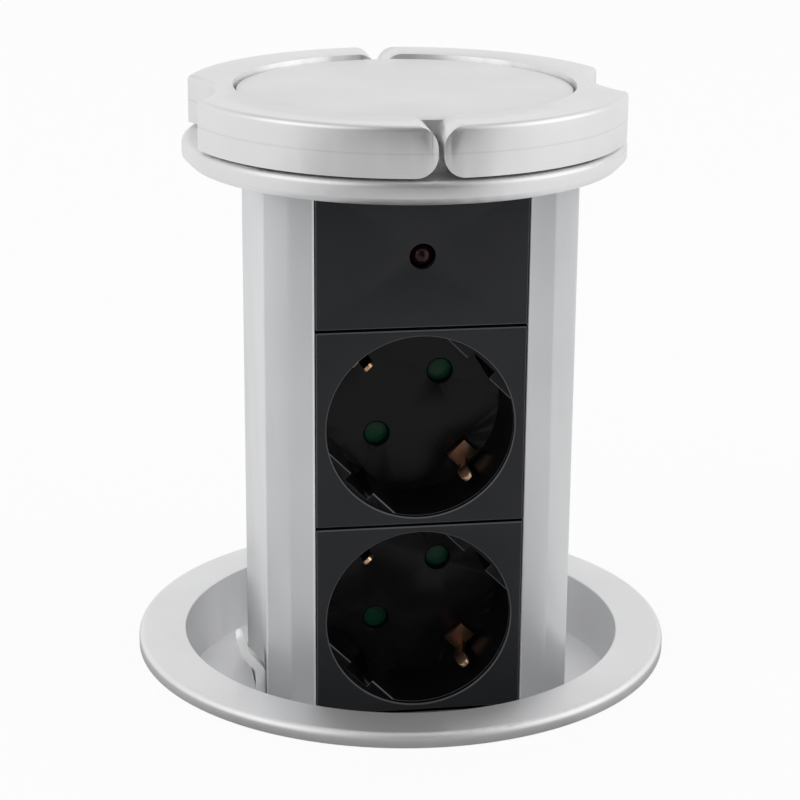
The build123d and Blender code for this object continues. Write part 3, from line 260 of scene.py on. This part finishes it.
# Earth straps and busbars
# Rolled copper alloy strip, stamped and bent. The rolling leaves fine lines and handling leaves
# warm brown clouds, over a bright reddish metal.
def rolled_metal(name, colour, tarnish, roughness, metallic=1.0, deep_shade_colour=None, shade_from_mm=0.0):
    """Rolled metal with clouds of tarnish. Where a painted shade colour is given, it starts behind a Y, over
    1.6 mm.
    """
    material, tree = new_material(name)
    place = add_node(tree, "ShaderNodeTexCoord")
    cloud = add_node(tree, "ShaderNodeTexNoise", values={"Scale": 1000 / 5, "Detail": 4, "Roughness": 0.6},
                     links={"Vector": place.outputs["Object"]})
    lines = add_node(tree, "ShaderNodeTexNoise", values={"Scale": 1000 / 0.25, "Detail": 1},
                     links={"Vector": place.outputs["Object"]})
    share = add_node(tree, "ShaderNodeMapRange", values={"From Min": 0.42, "From Max": 0.68},
                     links={"Value": cloud.outputs["Fac"]})
    tarnished_and_shaded = add_node(tree, "ShaderNodeMix", {"data_type": "RGBA"},
                       {"A": linear(colour), "B": linear(tarnish)}, {"Factor": share.outputs["Result"]})
    if deep_shade_colour:
        axes = add_node(tree, "ShaderNodeSeparateXYZ", links={"Vector": place.outputs["Object"]})
        deep = add_node(tree, "ShaderNodeMapRange",
                        values={"From Min": shade_from_mm / 1000, "From Max": (shade_from_mm + 1.6) / 1000},
                        links={"Value": axes.outputs["Y"]})
        tarnished_and_shaded = add_node(tree, "ShaderNodeMix", {"data_type": "RGBA"}, {"B": linear(deep_shade_colour)},
                           {"Factor": deep.outputs["Result"], "A": tarnished_and_shaded.outputs["Result"]})
    matt = add_node(tree, "ShaderNodeMapRange", values={"To Min": roughness, "To Max": roughness + 0.15},
                    links={"Value": share.outputs["Result"]})
    rolled = add_node(tree, "ShaderNodeBump", values={"Strength": 0.2, "Distance": 0.00001},
                      links={"Height": lines.outputs["Fac"]})
    metal = add_node(tree, "ShaderNodeBsdfPrincipled", values={"Metallic": metallic},
                     links={"Base Color": tarnished_and_shaded.outputs["Result"], "Roughness": matt.outputs["Result"],
                            "Normal": rolled.outputs["Normal"]})
    add_node(tree, "ShaderNodeOutputMaterial", links={"Surface": metal.outputs["BSDF"]})
    return material


# Behind this depth from the face the straps darken, over 1.6 mm, to a painted shade of the well, so that
# the fingers stay bright and the plate behind them is dull.
shade_depth_mm = 4.6
copper = rolled_metal("rolled copper alloy", "#FFDDB6", "#E3B48E", 0.30, deep_shade_colour="#9C7A64",
                      shade_from_mm=face_y_mm + shade_depth_mm)
dress(copper, "earth_strap_upper", "earth_strap_lower", "busbars")
soften(0.12, "earth_strap_upper", "earth_strap_lower")


# Pin contacts
# Split tubes of drawn brass that grip the plug's pins, yellow and bright with darker clouds.
brass = rolled_metal("drawn contact brass", "#E8CE8A", "#B79A58", 0.25)
dress(brass, "pin_contacts_upper", "pin_contacts_lower")


# Thumb catch
# A leaf of stainless spring steel, bent to a thumb rest and hung on a pin. Tumbling leaves it pale,
# and so matt that it scatters most of the light.
spring_steel = rolled_metal("tumbled stainless spring steel", "#FAFAFA", "#F0F1F1", 0.42, metallic=0.25)
dress(spring_steel, "thumb_catch")
soften(0.15, "thumb_catch")


# Screws, pins, springs, washer and lamp leads
# Zinc plated steel with a thin clear passivation, a cool bright grey.
zinc = rolled_metal("zinc plated steel", "#C9CCCE", "#A9ADB0", 0.3)
dress(zinc, "barrel_screws", "guide_screws", "foot_screws", "lid_screws", "grip_screws", "board_screws",
      "cup_screws", "contact_base_screws", "terminal_screws", "catch_pin", "shutter_spring_upper",
      "shutter_spring_lower", "clamp_washer", "lamp_leads")


# Indicator lamp
# A domed lens moulded in dark red clear plastic. It is polished, so it shows one small glint.
lens, tree = new_material("polished dark red acrylic")
grit = add_node(tree, "ShaderNodeTexNoise", values={"Scale": 1000 / 1.5, "Detail": 2})
matt = add_node(tree, "ShaderNodeMapRange", values={"To Min": 0.06, "To Max": 0.12},
                links={"Value": grit.outputs["Fac"]})
acrylic = add_node(tree, "ShaderNodeBsdfPrincipled",
                   values={"Base Color": linear("#1A0409"), "IOR": 1.49, "Specular IOR Level": 0.3},
                   links={"Roughness": matt.outputs["Result"]})
add_node(tree, "ShaderNodeOutputMaterial", links={"Surface": acrylic.outputs["BSDF"]})
dress(lens, "indicator_lamp")
soften(0.1, "indicator_lamp")


# Contact bases, busbar carrier, terminal block and cable gland
# Grey glass filled polyamide, moulded with a coarse grain that takes most of its shine.
polyamide = moulded_plastic("moulded grey polyamide", "#A6A8AA", 0.5, 0.6, 0.02)
dress(polyamide, "contact_base_upper", "contact_base_lower", "busbar_carrier", "terminal_block", "gland_body",
      "gland_locknut", "gland_cap")


# Barrel, clamp ring, guide frame, foot and cup
# Black polyamide with a grain from the mould. None of it shows above the worktop.
barrel_black = moulded_plastic("moulded black polyamide", "#303133", 0.48, 0.7, 0.02)
dress(barrel_black, "barrel", "clamp_ring", "guide_frame", "tower_foot", "gland_cup")


# Indicator board and overvoltage discs
# Green glass fibre laminate with a solder mask, and two discs dipped in blue epoxy.
laminate = moulded_plastic("solder masked laminate", "#1E5A34", 0.3, 0.3, 0.004)
dress(laminate, "indicator_board")
epoxy = moulded_plastic("dipped blue epoxy", "#2B4FA0", 0.22, 2.0, 0.02)
dress(epoxy, "varistors")


# Gasket and gland seal
# Black rubber, matt and slightly dusty.
rubber = moulded_plastic("moulded black rubber", "#26272A", 0.7, 0.5, 0.01)
dress(rubber, "flange_gasket", "gland_seal")


# Worktop
# A pale plain laminate with the round cut-out that the barrel passes through. It lies a little below the
# gasket, so that their faces stay apart. In the metal it mirrors dark in front, as the room does.
cutout_radius = 0.052
floor_radius = 6.0
gasket_gap = 0.0002
floor_mesh = bpy.data.meshes.new("worktop")
shape = bmesh.new()
bmesh.ops.create_circle(shape, segments=128, radius=cutout_radius)
bmesh.ops.create_circle(shape, segments=128, radius=floor_radius)
bmesh.ops.bridge_loops(shape, edges=shape.edges[:])
shape.to_mesh(floor_mesh)
shape.free()
floor = bpy.data.objects.new("worktop", floor_mesh)
floor.location.z = -gasket_gap
bpy.context.scene.collection.objects.link(floor)


def room_tone(tree, direction):
    """How bright the room mirrors in the metal by its direction from the tower, dark in front."""
    turned = add_node(tree, "ShaderNodeMapping", values={"Rotation": (0, 0, math.radians(90))},
                      links={"Vector": direction})
    around = add_node(tree, "ShaderNodeTexGradient", {"gradient_type": "RADIAL"},
                      links={"Vector": turned.outputs["Vector"]})
    tone = add_node(tree, "ShaderNodeValToRGB", links={"Fac": around.outputs["Fac"]})
    # Degrees from straight in front, towards the right of the tower, each with its brightness.
    walls = ((-180, 0.90), (-66, 0.88), (-52, 0.68), (-40, 0.46), (-26, 0.24), (-8, 0.15), (2, 0.03),
             (16, 0.02), (25, 0.22), (33, 0.76), (48, 0.90), (180, 0.90))
    set_stops(tone, [(0.5 + degrees / 360, (bright, bright, bright, 1)) for degrees, bright in walls])
    return tone.outputs["Color"]


pale, tree = new_material("pale worktop laminate")
place = add_node(tree, "ShaderNodeNewGeometry")
reach = add_node(tree, "ShaderNodeVectorMath", {"operation": "LENGTH"}, links={0: place.outputs["Position"]})
# Nearer than about half a metre the front of the floor is brighter, as the worktop is under the lamps.
near = add_node(tree, "ShaderNodeMapRange", {"interpolation_type": "SMOOTHSTEP"},
                {"From Min": 0.46, "From Max": 0.64, "To Min": 0.52, "To Max": 0.0},
                {"Value": reach.outputs["Value"]})
brighter = add_node(tree, "ShaderNodeMath", {"operation": "MAXIMUM"},
                    links={0: room_tone(tree, place.outputs["Position"]), 1: near.outputs["Result"]})
# Close beside the flange it is darker, in the flange's own shadow.
beside = add_node(tree, "ShaderNodeMapRange", {"interpolation_type": "SMOOTHSTEP"},
                  {"From Min": 0.056, "From Max": 0.080, "To Min": 0.30, "To Max": 1.0},
                  {"Value": reach.outputs["Value"]})
front = add_node(tree, "ShaderNodeMath", {"operation": "MULTIPLY"},
                 links={0: brighter.outputs["Value"], 1: beside.outputs["Result"]})
ray = add_node(tree, "ShaderNodeLightPath")
mirrored = add_node(tree, "ShaderNodeMath", {"operation": "MULTIPLY"},
                    links={0: front.outputs["Value"], 1: ray.outputs["Is Glossy Ray"]})
shown = add_node(tree, "ShaderNodeMath", {"operation": "ADD"},
                 links={0: ray.outputs["Is Camera Ray"], 1: mirrored.outputs["Value"]})
glow = add_node(tree, "ShaderNodeEmission", values={"Color": linear("#FFFFFF")},
                links={"Strength": shown.outputs["Value"]})
lit = add_node(tree, "ShaderNodeBsdfDiffuse", values={"Color": linear("#F2F2F2")})
# The camera sees nine tenths glow and one tenth shadow, and a mirror sees the glow alone.
share = add_node(tree, "ShaderNodeMath", {"operation": "MULTIPLY_ADD"}, {1: 0.90},
                 {0: ray.outputs["Is Camera Ray"], 2: ray.outputs["Is Glossy Ray"]})
blend = add_node(tree, "ShaderNodeMixShader",
                 links={0: share.outputs["Value"], 1: lit.outputs["BSDF"], 2: glow.outputs["Emission"]})
add_node(tree, "ShaderNodeOutputMaterial", links={"Surface": blend.outputs["Shader"]})
floor.data.materials.append(pale)


# Studio
# A white room, dark in front of the tower and dimmer overhead, with one wide soft lamp above on the left
# and a weaker one on the right.
world = bpy.data.worlds.new("studio")
bpy.context.scene.world = world
world.use_nodes = True
tree = world.node_tree
tree.nodes.clear()
place = add_node(tree, "ShaderNodeTexCoord")
axes = add_node(tree, "ShaderNodeSeparateXYZ", links={"Vector": place.outputs["Generated"]})
ceiling = add_node(tree, "ShaderNodeMapRange", {"interpolation_type": "SMOOTHSTEP"},
                   {"From Min": 0.35, "From Max": 0.9, "To Min": 1.0, "To Max": 0.7},
                   {"Value": axes.outputs["Z"]})
around = add_node(tree, "ShaderNodeMath", {"operation": "MULTIPLY"},
                  links={0: room_tone(tree, place.outputs["Generated"]), 1: ceiling.outputs["Result"]})
ray = add_node(tree, "ShaderNodeLightPath")
soft_light = 0.80
backdrop = 1.0
mirrored = add_node(tree, "ShaderNodeMix", {"data_type": "FLOAT"}, {"A": soft_light},
                    {"Factor": ray.outputs["Is Glossy Ray"], "B": around.outputs["Value"]})
shown = add_node(tree, "ShaderNodeMix", {"data_type": "FLOAT"}, {"B": backdrop},
                 {"Factor": ray.outputs["Is Camera Ray"], "A": mirrored.outputs["Result"]})
room = add_node(tree, "ShaderNodeBackground", values={"Color": linear("#FFFFFF")},
                links={"Strength": shown.outputs["Result"]})
add_node(tree, "ShaderNodeOutputWorld", links={"Surface": room.outputs["Background"]})


def soft_lamp(name, place, size, power):
    """A square soft box that faces the tower, in metres and watts."""
    data = bpy.data.lights.new(name, "AREA")
    data.shape = "SQUARE"
    data.size = size
    data.energy = power
    lamp = bpy.data.objects.new(name, data)
    lamp.location = place
    towards = -lamp.location
    towards.z += 0.05
    lamp.rotation_euler = towards.to_track_quat("-Z", "Y").to_euler()
    bpy.context.scene.collection.objects.link(lamp)


soft_lamp("left soft box", place=(-1.1, -0.5, 1.0), size=1.4, power=3.5)
soft_lamp("right soft box", place=(1.2, -0.3, 0.8), size=1.4, power=3.0)

bpy.context.scene.view_settings.view_transform = "Standard"


# Camera
# It stands a little to the left of the tower's front and looks down on the lid, as the photograph does.
azimuth = math.radians(8.77)
pitch = math.radians(17.88)
roll = math.radians(0.44)
distance = 0.480
height = 0.2089
focal_px = 2351
frame_px = 800
axis_px = 402.4
camera_data = bpy.data.cameras.new("camera")
camera_data.sensor_width = 36
camera_data.lens = focal_px / frame_px * camera_data.sensor_width
camera_data.shift_x = -(axis_px - frame_px / 2) / frame_px
camera_data.clip_start = 0.01
camera_data.clip_end = 50
camera = bpy.data.objects.new("camera", camera_data)
camera.location = (-distance * math.sin(azimuth), -distance * math.cos(azimuth), height)
turn = (Matrix.Rotation(-azimuth, 3, "Z") @ Matrix.Rotation(math.pi / 2 - pitch, 3, "X")
        @ Matrix.Rotation(roll, 3, "Z"))
camera.rotation_euler = turn.to_euler()
bpy.context.scene.collection.objects.link(camera)
bpy.context.scene.camera = camera
